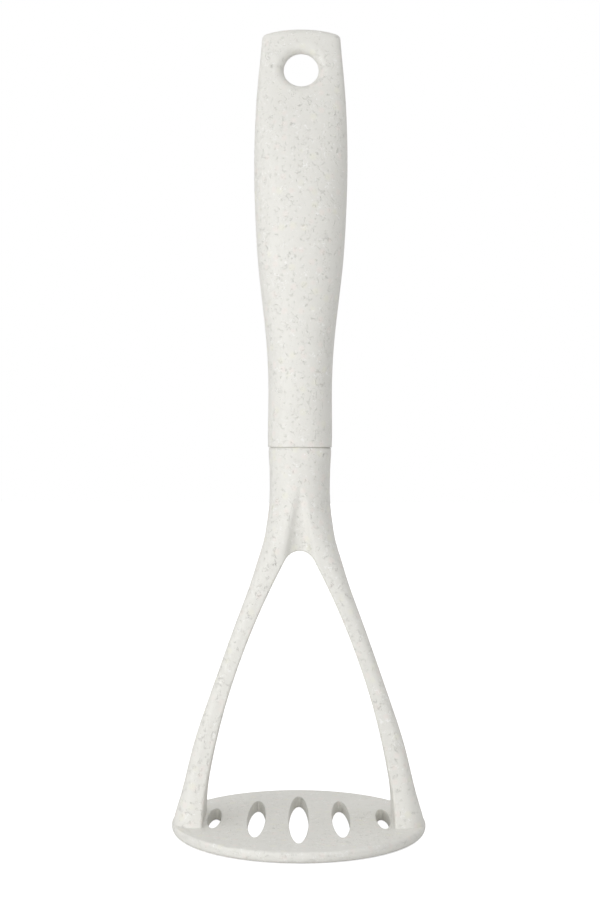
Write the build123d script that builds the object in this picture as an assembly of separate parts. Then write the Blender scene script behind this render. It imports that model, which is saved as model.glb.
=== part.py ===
from build123d import *
import os
from math import cos, pi, radians, sin

# A potato masher in two mouldings: a cored handle, and a head with a neck, two legs and a slotted plate.
# Millimetres, +Z up, origin in the middle of the plate's underside, with the front towards -Y.

# Overall sizes
plate_diameter = 84.0
plate_thickness = 3.7
seam_height = 127.0
handle_length = 138.3

# Handle
grip_width = 31.0
grip_depth = 21.6
neck_width = 21.2
neck_depth = 20.0
end_width = 26.1
end_depth = 6.4
grip_fullness = 2.2
end_fullness = 2.8
crown_radius = 55.0
crown_edge_round = 2.1
hanging_hole_radius = 5.8
hanging_hole_drop = 13.3
hanging_hole_rim_round = 2.8

# Neck and legs
collar_width = 20.5
collar_depth = 19.4
collar_edge_chamfer = 0.35
waist_width = 19.9
waist_depth = 18.8
waist_corner = 9.2
leg_depth = 17.6
leg_corner = 3.2
foot_depth = 27.6
foot_corner = 8.0
foot_width = 10.8
foot_inset = 0.6

# Arch between the legs, and the recess above it on the front and the back
arch_height = 89.2
arch_bend_height = 13.6
arch_bend_inset = 1.1
arch_edge_round = 0.8
crotch_radius = 5.3
crotch_lean = 28.0
valley_height = 21.5
valley_depth = 2.4
valley_radius = 5.0
valley_tip_share = 0.25
valley_overrun_share = 0.6
valley_ridge_round = 2.0

# Plate
plate_top_round = 1.0
plate_bottom_round = 2.2

# Slots in the plate
slot_pitch = 14.0
centre_slot_length = 62.0
second_slot_length = 48.0
outer_slot_length = 26.0
centre_slot_width = 6.7
second_slot_width = 6.0
outer_slot_width = 4.6

# Tang on the head and socket in the handle
tang_width = 13.0
tang_depth = 10.0
tang_length = 40.0
tang_rib = 2.6
tang_corner_round = 1.6
tang_plate = 2.0
tang_plate_count = 3
tang_lead_in = 1.0
socket_clearance = 0.15
socket_end_room = 2.0
barb_height = 0.6
barb_length = 4.0
barb_drop = 8.0
core_step = 0.6
core_length = 96.0
core_tip_share = 0.7
cut_overrun = 5.0

depth_easing = 4
half_turn = 180.0

plate_radius = plate_diameter / 2
plate_top = plate_thickness
foot_base = plate_top - plate_top_round
head_height = seam_height - foot_base
handle_top = seam_height + handle_length
hole_height = handle_top - hanging_hole_drop

# Handle stations: share of the length, then how far the width and the depth have gone, as shares of
# the way from the neck to the grip, and past that from the grip to the end.
handle_station_shares = [
    (0.00, 0.00, 0.00),
    (0.08, 0.00, 0.04),
    (0.16, 0.00, 0.10),
    (0.29, 0.24, 0.50),
    (0.42, 0.66, 0.95),
    (0.55, 0.91, 1.00),
]
handle_end_shares = [
    (0.68, 0.00, 0.13),
    (0.80, 0.17, 0.54),
    (0.90, 0.60, 0.92),
    (0.96, 0.93, 0.98),
    (1.03, 1.00, 1.00),
]


def closed_curve(half_width, half_depth, height, fullness, points=16):
    """A level rounded outline, a little fuller than an ellipse."""
    outline = []
    for step in range(points):
        turn = 2 * pi * step / points
        across = abs(cos(turn)) ** (2 / fullness) * half_width
        deep = abs(sin(turn)) ** (2 / fullness) * half_depth
        outline.append((across if cos(turn) > 0 else -across, deep if sin(turn) > 0 else -deep, height))
    return Wire([Spline(*outline, periodic=True)])


def between(start, end, share):
    return start + (end - start) * share


def make_handle_blank():
    stations = []
    for along, wide, deep in handle_station_shares:
        width = between(neck_width, grip_width, wide)
        depth = between(neck_depth, grip_depth, deep)
        height = seam_height + along * handle_length
        stations.append(closed_curve(width / 2, depth / 2, height, grip_fullness))
    for along, wide, deep in handle_end_shares:
        width = between(grip_width, end_width, wide)
        depth = between(grip_depth, end_depth, deep)
        fullness = between(grip_fullness, end_fullness, deep)
        height = seam_height + along * handle_length
        stations.append(closed_curve(width / 2, depth / 2, height, fullness))
    return loft([Face(w) for w in stations])


def rounded_bar(width, depth, low, high, corner):
    """An upright bar with rounded corners, from one height to another."""
    outline = RectangleRounded(width, depth, corner)
    return Pos(0, 0, low) * extrude(outline, high - low)


def make_socket():
    """The hollow that takes the tang, with its stepped core above and a notch on each side for a barb."""
    width = tang_width + 2 * socket_clearance
    depth = tang_depth + 2 * socket_clearance
    corner = tang_corner_round + socket_clearance
    top = seam_height + tang_length + socket_end_room
    socket = rounded_bar(width, depth, seam_height - cut_overrun, top, corner)
    wide = RectangleRounded(width - 2 * core_step, depth - 2 * core_step, corner - core_step)
    tip = scale(wide, core_tip_share)
    core = loft([Pos(0, 0, top) * wide, Pos(0, 0, seam_height + core_length) * tip])
    notch_length = barb_length + 2 * socket_clearance
    notch_reach = tang_width + 2 * (barb_height + socket_clearance)
    notch_height = seam_height + tang_length - barb_drop - barb_length / 2
    notch = Pos(0, 0, notch_height) * Box(notch_reach, tang_rib + 2 * socket_clearance, notch_length)
    return socket + core + notch


def make_handle():
    blank = make_handle_blank()
    crown = Pos(0, 0, handle_top - crown_radius) * Rot(90, 0, 0) * Cylinder(crown_radius, grip_depth * 2)
    crown = crown + Pos(0, 0, seam_height) * Box(grip_width * 2, grip_depth * 2, handle_length)
    body = blank & crown
    top = body.faces().sort_by(Axis.Z)[-1]
    body = fillet(top.edges(), crown_edge_round)
    body = body - Pos(0, 0, hole_height) * Rot(90, 0, 0) * Cylinder(hanging_hole_radius, grip_depth * 2)
    circumference = 2 * pi * hanging_hole_radius
    near = [e for e in body.edges() if abs(e.center().Z - hole_height) < hanging_hole_radius / 2]
    rims = [e for e in near if abs(e.length - circumference) < hanging_hole_radius]
    body = fillet(rims, hanging_hole_rim_round)
    return body - make_socket()


# Collar stations: share of the head's height, share of the way from the waist to the collar's size
collar_shares = [(1.0, 1.0), (0.968, 1.0), (0.945, 0.4), (0.90, 0.0)]

# Stations below the waist: share of the head's height, share of the spread from the waist to the plate's
# edge, share of the waist's corner that is left, share of the way to the foot's depth and corner
leg_shares = [
    (0.856, 0.005, 1.00, 0.00),
    (0.795, 0.032, 0.78, 0.00),
    (0.752, 0.062, 0.58, 0.00),
    (0.709, 0.113, 0.40, 0.00),
    (0.645, 0.191, 0.18, 0.00),
    (0.565, 0.306, 0.06, 0.00),
    (0.445, 0.478, 0.00, 0.00),
    (0.325, 0.644, 0.00, 0.00),
    (0.206, 0.795, 0.00, 0.06),
    (0.127, 0.870, 0.00, 0.19),
    (0.068, 0.932, 0.00, 0.44),
    (0.000, 1.000, 0.00, 1.00),
]


def level_outline(width, depth, corner, share):
    """A level rounded rectangle at a share of the head's height."""
    return Pos(0, 0, foot_base + share * head_height) * RectangleRounded(width, depth, corner)


def make_blank():
    """The neck and the spread of both legs as one solid, before the arch between the legs is cut."""
    outlines = []
    for height, swell in collar_shares:
        width = between(waist_width, collar_width, swell)
        depth = between(waist_depth, collar_depth, swell)
        outlines.append(level_outline(width, depth, waist_corner, height))
    for height, spread, corner_left, foot in leg_shares:
        width = between(waist_width, plate_diameter - 2 * foot_inset, spread)
        depth = between(leg_depth, waist_depth, (1 - spread) ** depth_easing)
        depth = between(depth, foot_depth, foot)
        corner = between(leg_corner, waist_corner, corner_left)
        corner = between(corner, foot_corner, foot)
        outlines.append(level_outline(width, depth, corner, height))
    blank = loft(list(reversed(outlines)))
    return chamfer(blank.faces().sort_by(Axis.Z)[-1].edges(), collar_edge_chamfer)


def make_arch():
    """The opening between the legs: a small arc at the crotch, then a long and a short arc down each leg."""
    lean = radians(crotch_lean)
    centre = plate_top + arch_height - crotch_radius
    shoulder = (crotch_radius * cos(lean), centre + crotch_radius * sin(lean))
    foot = (plate_radius - foot_width, foot_base)
    bend = (foot[0] - arch_bend_inset, foot_base + arch_bend_height)
    crotch = CenterArc((0, centre), crotch_radius, crotch_lean, half_turn - 2 * crotch_lean)
    upper = TangentArc(shoulder, bend, tangent=(sin(lean), -cos(lean)))
    lower = TangentArc(bend, foot, tangent=upper % 1)
    sill = Line(foot, (-foot[0], foot_base))
    left = [mirror(side, Plane.YZ) for side in (upper, lower)]
    outline = make_face([crotch, upper, lower, sill] + left)
    return Rot(90, 0, 0) * extrude(outline, foot_depth, both=True)


def make_valley(side):
    """A tilted cone that cuts the recess above the arch, on one side of the neck."""
    low = plate_top + arch_height
    high = low + valley_height
    tip_radius = valley_radius * valley_tip_share
    top_centre = waist_depth / 2 + tip_radius
    low_centre = leg_depth / 2 - valley_depth + valley_radius
    rings = []
    for along in (0, 1 + valley_overrun_share):
        radius = between(tip_radius, valley_radius, along)
        centre = between(top_centre, low_centre, along)
        height = between(high, low, along)
        rings.append(Pos(0, side * centre, height) * Circle(radius))
    return loft(rings, ruled=True)


def make_frame():
    """The neck and the two legs, with soft ridges beside the recesses and the arch's edges rounded."""
    blank = make_blank()
    valleys = [make_valley(side) for side in (-1, 1)]
    cut = blank - valleys
    ridges = new_edges(blank, *valleys, combined=cut)
    blank = fillet(ridges, valley_ridge_round)
    arch = make_arch()
    cut = blank - arch
    edges = new_edges(blank, arch, combined=cut)
    return fillet([e for e in edges if e.center().Z > plate_top], arch_edge_round)


def make_plate():
    """The round mashing plate with its five slots."""
    plate = Pos(0, 0, plate_thickness / 2) * Cylinder(plate_radius, plate_thickness)
    rims = plate.edges().filter_by(GeomType.CIRCLE).sort_by(Axis.Z)
    plate = fillet(rims[-1], plate_top_round)
    rims = plate.edges().filter_by(GeomType.CIRCLE).sort_by(Axis.Z)
    return fillet(rims[0], plate_bottom_round)


def make_slots():
    """Five slots that run front to back, longest in the middle."""
    centre = (centre_slot_width, centre_slot_length)
    second = (second_slot_width, second_slot_length)
    outer = (outer_slot_width, outer_slot_length)
    height = plate_thickness + 2 * cut_overrun
    slots = []
    for place, (width, length) in {-2: outer, -1: second, 0: centre, 1: second, 2: outer}.items():
        outline = Ellipse(width / 2, length / 2)
        slots.append(Pos(place * slot_pitch, 0, -cut_overrun) * extrude(outline, height))
    return slots


def make_tang():
    """A ribbed tang that fills the handle's socket, with a snap barb on each side near its tip."""
    envelope = RectangleRounded(tang_width, tang_depth, tang_corner_round)
    wide_rib = Pos(0, 0, tang_length / 2) * Box(tang_width, tang_rib, tang_length)
    deep_rib = Pos(0, 0, tang_length / 2) * Box(tang_rib, tang_depth, tang_length)
    tang = wide_rib + deep_rib
    spacing = (tang_length - tang_plate) / tang_plate_count
    for number in range(tang_plate_count):
        tang = tang + Pos(0, 0, (number + 1) * spacing) * extrude(envelope, tang_plate)
    tip = tang.faces().sort_by(Axis.Z)[-1]
    tang = chamfer(tip.edges(), tang_lead_in)
    low = tang_length - barb_drop - barb_length
    reach = tang_width / 2 + barb_height
    high = low + barb_length
    wedge = Polyline((0, 0, low), (reach, 0, low), (tang_width / 2, 0, high), (0, 0, high), close=True)
    barb = extrude(Face(Wire(wedge)), tang_rib / 2, both=True, dir=(0, 1, 0))
    barbs = barb + Rot(0, 0, 180) * barb
    return Pos(0, 0, seam_height) * (tang + barbs)


def make_head():
    head = make_frame() + make_plate()
    for slot in make_slots():
        head = head - slot
    return head + make_tang()


os.makedirs("parts", exist_ok=True)
handle = make_handle()
masher_head = make_head()
export_step(handle, "parts/handle.step")
export_step(masher_head, "parts/masher_head.step")
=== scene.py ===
import math

import bpy
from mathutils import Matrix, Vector


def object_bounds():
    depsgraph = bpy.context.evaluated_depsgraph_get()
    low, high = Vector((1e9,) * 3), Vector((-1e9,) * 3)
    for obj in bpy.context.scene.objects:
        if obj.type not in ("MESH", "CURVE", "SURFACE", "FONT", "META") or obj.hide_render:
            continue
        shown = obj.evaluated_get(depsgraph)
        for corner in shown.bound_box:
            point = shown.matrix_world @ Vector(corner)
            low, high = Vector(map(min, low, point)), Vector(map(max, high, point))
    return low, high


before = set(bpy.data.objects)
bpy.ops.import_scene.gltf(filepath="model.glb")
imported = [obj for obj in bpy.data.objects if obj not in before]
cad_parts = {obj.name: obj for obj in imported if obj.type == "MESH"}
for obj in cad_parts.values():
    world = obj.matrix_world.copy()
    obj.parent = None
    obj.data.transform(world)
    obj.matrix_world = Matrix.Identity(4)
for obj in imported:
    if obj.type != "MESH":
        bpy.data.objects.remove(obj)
cad_low, cad_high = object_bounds()

# Camera, in metres and in pixels of the 600 by 900 photograph
PICTURE_HEIGHT_PX = 900
PICTURE_MIDDLE_PX = 450
SENSOR_MM = 36.0
CAMERA_DISTANCE = 0.490
PLATE_WIDTH_PX = 252.8
PLATE_TOP_PX = 818.4
ROLL_DEG = -0.19
SIDE_SHIFT_PX = 0.07
PLATE_THICKNESS = 0.0037

# Lamps, in metres and watts: name, place, power
LAMPS = [
    ("key", (-0.50, -0.50, 0.08), 1.96),
    ("front", (0.0, -0.65, 0.05), 1.12),
]
LAMP_SIZE = 0.4
LAMPS_LOOK_AT = (0.0, 0.0, 0.13)

# Colour of every light
PURE_WHITE = (1, 1, 1, 1)

# World: its light from low down and from high up, and the heights of the direction between which it changes
LIGHT_BELOW = 0.27
LIGHT_ABOVE = 0.885
CHANGE_FROM = 0.4
CHANGE_TO = 0.6

# Floor, in metres, with its own colour and its glow to the camera
FLOOR_SIZE = 6
FLOOR_DROP = 0.0002
FLOOR_COLOUR = (0.82, 0.82, 0.82, 1)
FLOOR_GLOW = 0.75

# Plastic colours, linear
PALE = (0.829, 0.820, 0.776, 1.0)
DULL = (0.784, 0.775, 0.730, 1.0)
TAN = (0.420, 0.375, 0.305, 1.0)
GREY = (0.360, 0.350, 0.330, 1.0)
PINK = (0.850, 0.795, 0.750, 1.0)
CREAM = (0.830, 0.822, 0.725, 1.0)
WHITE = (0.940, 0.935, 0.915, 1.0)

# Patterns are sized in mm and drawn in metres
MM_PER_METRE = 1000

# Mottle between the pale and the dull colour
MOTTLE_SCALE = 300.0
MOTTLE_DETAIL = 4.0

# Soft tints and small flecks: cell size and radius in mm, share of cells that hold one, colour, strength
FLECKS = [
    (3.0, 1.40, 0.35, PINK, 0.60),
    (3.7, 1.60, 0.35, CREAM, 0.60),
    (1.6, 0.26, 0.25, TAN, 0.34),
    (1.5, 0.24, 0.25, WHITE, 0.60),
]
# The share of a fleck's radius inside which it has its full strength
FLECK_CORE = 0.4

# Short curled fibres: how far apart they lie in mm, how thick they are and how little they cover,
# both in units of the noise, then the noise's seed, colour and strength
FIBRES = [
    (1.30, 0.040, 0.590, 1.0, TAN, 0.34),
    (1.10, 0.042, 0.595, 4.0, GREY, 0.32),
    (1.20, 0.052, 0.540, 7.0, WHITE, 1.00),
]
# Fibres that stand up from the surface and ones that lie low in it, in the same terms
RAISED = (1.30, 0.055, 0.575, 13.0)
SUNK = (1.15, 0.055, 0.575, 16.0)

# The noise behind the fibres: its detail and its middle, where a fibre runs
NOISE_DETAIL = 1.0
NOISE_MIDDLE = 0.5
# A second noise breaks the fibres into short pieces: its size beside theirs, and how softly a piece ends
BREAK_SIZE = 1.3
BREAK_FADE = 0.10

# Patches with more or fewer fibres: size in mm, seed, the noise's range, and the least share of fibres
PATCH_SIZE = 5.0
PATCH_SEED = 20.0
PATCH_FROM = 0.44
PATCH_TO = 0.58
PATCH_LEAST = 0.2

# Surface: how rough it is, then its softened edges and its relief, in metres
ROUGHNESS = 0.55
EDGE_RADIUS = 0.0006
EDGE_SAMPLES = 6
RELIEF_HEIGHT = 0.00015

# Each moulding's node, its material, and where its pattern starts in metres, so that the two differ
MOULDINGS = {
    "handle": ("handle_plastic", (0.0, 0.0, 0.0)),
    "masher_head": ("head_plastic", (0.05, 0.02, 0.03)),
}


def aim(thing, at):
    """Turn a light or camera so that it looks at a point."""
    direction = Vector(at) - thing.location
    thing.rotation_euler = direction.to_track_quat("-Z", "Y").to_euler()


def make_camera():
    """A level camera, whose height and lens follow from the plate in the photograph."""
    plate_width = cad_high[0] - cad_low[0]
    metres_per_px = plate_width / PLATE_WIDTH_PX
    height = PLATE_THICKNESS + (PLATE_TOP_PX - PICTURE_MIDDLE_PX) * metres_per_px
    data = bpy.data.cameras.new("camera")
    data.sensor_width = SENSOR_MM
    data.lens = SENSOR_MM * CAMERA_DISTANCE / (PICTURE_HEIGHT_PX * metres_per_px)
    camera = bpy.data.objects.new("camera", data)
    side = SIDE_SHIFT_PX * metres_per_px
    camera.location = (side, -CAMERA_DISTANCE, height)
    camera.rotation_euler = (math.pi / 2, math.radians(ROLL_DEG), 0)
    bpy.context.scene.collection.objects.link(camera)
    bpy.context.scene.camera = camera


def make_lamp(name, place, power):
    """A round soft lamp that no camera sees."""
    data = bpy.data.lights.new(name, "AREA")
    data.shape = "DISK"
    data.size = LAMP_SIZE
    data.energy = power
    lamp = bpy.data.objects.new(name, data)
    lamp.location = place
    lamp.visible_camera = False
    aim(lamp, LAMPS_LOOK_AT)
    bpy.context.scene.collection.objects.link(lamp)


def calculate(tree, operation, first, second=0.0):
    """The result of a Math node, whose inputs are sockets or numbers."""
    node = tree.nodes.new("ShaderNodeMath")
    node.operation = operation
    for socket, value in zip(node.inputs, (first, second)):
        if isinstance(value, float):
            socket.default_value = value
        else:
            tree.links.new(value, socket)
    return node.outputs["Value"]


def ramp(tree, value, low, high, low_result=0.0, high_result=1.0):
    """Map a value's range to another one, and keep to that range."""
    node = tree.nodes.new("ShaderNodeMapRange")
    node.inputs["From Min"].default_value = low
    node.inputs["From Max"].default_value = high
    node.inputs["To Min"].default_value = low_result
    node.inputs["To Max"].default_value = high_result
    tree.links.new(value, node.inputs["Value"])
    return node.outputs["Result"]


def make_world():
    """White to the eye, and as a light it is stronger from high up, like a soft box."""
    world = bpy.data.worlds.new("studio")
    bpy.context.scene.world = world
    world.use_nodes = True
    tree = world.node_tree
    nodes, links = tree.nodes, tree.links
    nodes.clear()
    path = nodes.new("ShaderNodeLightPath")
    seen = calculate(tree, "MAXIMUM", path.outputs["Is Camera Ray"], path.outputs["Is Glossy Ray"])
    way = nodes.new("ShaderNodeTexCoord")
    split = nodes.new("ShaderNodeSeparateXYZ")
    links.new(way.outputs["Generated"], split.inputs["Vector"])
    strength = ramp(tree, split.outputs["Z"], CHANGE_FROM, CHANGE_TO, LIGHT_BELOW, LIGHT_ABOVE)
    soft = nodes.new("ShaderNodeBackground")
    soft.inputs["Color"].default_value = PURE_WHITE
    links.new(strength, soft.inputs["Strength"])
    white = nodes.new("ShaderNodeBackground")
    white.inputs["Color"].default_value = PURE_WHITE
    mix = nodes.new("ShaderNodeMixShader")
    links.new(seen, mix.inputs["Fac"])
    links.new(soft.outputs["Background"], mix.inputs[1])
    links.new(white.outputs["Background"], mix.inputs[2])
    output = nodes.new("ShaderNodeOutputWorld")
    links.new(mix.outputs["Shader"], output.inputs["Surface"])


def make_floor():
    """A pale floor that glows to the camera alone, so that the shadow on it stays faint."""
    bpy.ops.mesh.primitive_plane_add(size=FLOOR_SIZE, location=(0, 0, -FLOOR_DROP))
    floor = bpy.context.object
    floor.name = "floor"
    material = bpy.data.materials.new("floor_white")
    material.use_nodes = True
    tree = material.node_tree
    nodes, links = tree.nodes, tree.links
    nodes.clear()
    matt = nodes.new("ShaderNodeBsdfDiffuse")
    matt.inputs["Color"].default_value = FLOOR_COLOUR
    path = nodes.new("ShaderNodeLightPath")
    glow = nodes.new("ShaderNodeEmission")
    glow.inputs["Color"].default_value = PURE_WHITE
    links.new(ramp(tree, path.outputs["Is Camera Ray"], 0.0, 1.0, 0.0, FLOOR_GLOW), glow.inputs["Strength"])
    add = nodes.new("ShaderNodeAddShader")
    links.new(glow.outputs["Emission"], add.inputs[0])
    links.new(matt.outputs["BSDF"], add.inputs[1])
    output = nodes.new("ShaderNodeOutputMaterial")
    links.new(add.outputs["Shader"], output.inputs["Surface"])
    floor.data.materials.append(material)


def flecks(tree, coords, cell, radius, share):
    """A mask of flecks, one in each chosen cell of a cell pattern."""
    cells = tree.nodes.new("ShaderNodeTexVoronoi")
    cells.inputs["Scale"].default_value = MM_PER_METRE / cell
    tree.links.new(coords, cells.inputs["Vector"])
    near = ramp(tree, cells.outputs["Distance"], radius / cell, FLECK_CORE * radius / cell)
    split = tree.nodes.new("ShaderNodeSeparateColor")
    tree.links.new(cells.outputs["Color"], split.inputs["Color"])
    chosen = calculate(tree, "LESS_THAN", split.outputs["Red"], share)
    return calculate(tree, "MULTIPLY", near, chosen)


def noise_at(tree, coords, size, seed):
    """A noise of a size in mm, with a pattern of its own for each seed."""
    noise = tree.nodes.new("ShaderNodeTexNoise")
    noise.noise_dimensions = "4D"
    noise.inputs["Scale"].default_value = MM_PER_METRE / size
    noise.inputs["Detail"].default_value = NOISE_DETAIL
    noise.inputs["W"].default_value = seed
    tree.links.new(coords, noise.inputs["Vector"])
    return noise.outputs["Fac"]


def fibres(tree, coords, size, width, cover, seed):
    """A mask of curled fibres: the line where one noise crosses its middle, broken up by another."""
    past_middle = calculate(tree, "SUBTRACT", noise_at(tree, coords, size, seed), NOISE_MIDDLE)
    line = ramp(tree, calculate(tree, "ABSOLUTE", past_middle), width, 0.0)
    breaks = noise_at(tree, coords, size * BREAK_SIZE, seed + 1)
    return calculate(tree, "MULTIPLY", line, ramp(tree, breaks, cover, cover + BREAK_FADE))


def lay_over(tree, under, mask, colour, amount):
    """Lay a colour over what is there, by a mask and an amount."""
    mix = tree.nodes.new("ShaderNodeMix")
    mix.data_type = "RGBA"
    tree.links.new(calculate(tree, "MULTIPLY", mask, amount), mix.inputs["Factor"])
    tree.links.new(under, mix.inputs["A"])
    mix.inputs["B"].default_value = colour
    return mix.outputs["Result"]


def pattern_coordinates(tree, start):
    """Object coordinates, moved so that each moulding has its own stretch of the patterns."""
    space = tree.nodes.new("ShaderNodeTexCoord")
    move = tree.nodes.new("ShaderNodeVectorMath")
    move.operation = "ADD"
    move.inputs[1].default_value = start
    tree.links.new(space.outputs["Object"], move.inputs[0])
    return move.outputs["Vector"]


def plastic_colour(tree, coords):
    """A soft mottle, under the tints, flecks and fibres, which lie closer together in some patches."""
    mottle = tree.nodes.new("ShaderNodeTexNoise")
    mottle.inputs["Scale"].default_value = MOTTLE_SCALE
    mottle.inputs["Detail"].default_value = MOTTLE_DETAIL
    tree.links.new(coords, mottle.inputs["Vector"])
    ground = tree.nodes.new("ShaderNodeMix")
    ground.data_type = "RGBA"
    tree.links.new(mottle.outputs["Fac"], ground.inputs["Factor"])
    ground.inputs["A"].default_value = DULL
    ground.inputs["B"].default_value = PALE
    colour = ground.outputs["Result"]
    for cell, radius, share, tint, amount in FLECKS:
        colour = lay_over(tree, colour, flecks(tree, coords, cell, radius, share), tint, amount)
    patches = noise_at(tree, coords, PATCH_SIZE, PATCH_SEED)
    crowd = ramp(tree, patches, PATCH_FROM, PATCH_TO, PATCH_LEAST)
    for size, width, cover, seed, tint, amount in FIBRES:
        mask = calculate(tree, "MULTIPLY", fibres(tree, coords, size, width, cover, seed), crowd)
        colour = lay_over(tree, colour, mask, tint, amount)
    return colour


def plastic_relief(tree, coords):
    """Normals of softened edges, with raised and sunk fibres on them."""
    edges = tree.nodes.new("ShaderNodeBevel")
    edges.samples = EDGE_SAMPLES
    edges.inputs["Radius"].default_value = EDGE_RADIUS
    relief = tree.nodes.new("ShaderNodeBump")
    relief.inputs["Distance"].default_value = RELIEF_HEIGHT
    height = calculate(tree, "SUBTRACT", fibres(tree, coords, *RAISED), fibres(tree, coords, *SUNK))
    tree.links.new(height, relief.inputs["Height"])
    tree.links.new(edges.outputs["Normal"], relief.inputs["Normal"])
    return relief.outputs["Normal"]


def make_plastic(name, start):
    """Off-white plant-fibre plastic."""
    material = bpy.data.materials.new(name)
    material.use_nodes = True
    tree = material.node_tree
    tree.nodes.clear()
    coords = pattern_coordinates(tree, start)
    shader = tree.nodes.new("ShaderNodeBsdfPrincipled")
    shader.inputs["Roughness"].default_value = ROUGHNESS
    tree.links.new(plastic_colour(tree, coords), shader.inputs["Base Color"])
    tree.links.new(plastic_relief(tree, coords), shader.inputs["Normal"])
    output = tree.nodes.new("ShaderNodeOutputMaterial")
    tree.links.new(shader.outputs["BSDF"], output.inputs["Surface"])
    return material


def dress(node, material):
    """Put a material on a node that the CAD model brought."""
    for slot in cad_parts[node].material_slots:
        slot.material = material


bpy.context.scene.view_settings.view_transform = "Standard"
make_camera()
make_world()
make_floor()
for lamp_name, lamp_place, lamp_power in LAMPS:
    make_lamp(lamp_name, lamp_place, lamp_power)
for node_name, (material_name, pattern_start) in MOULDINGS.items():
    dress(node_name, make_plastic(material_name, pattern_start))
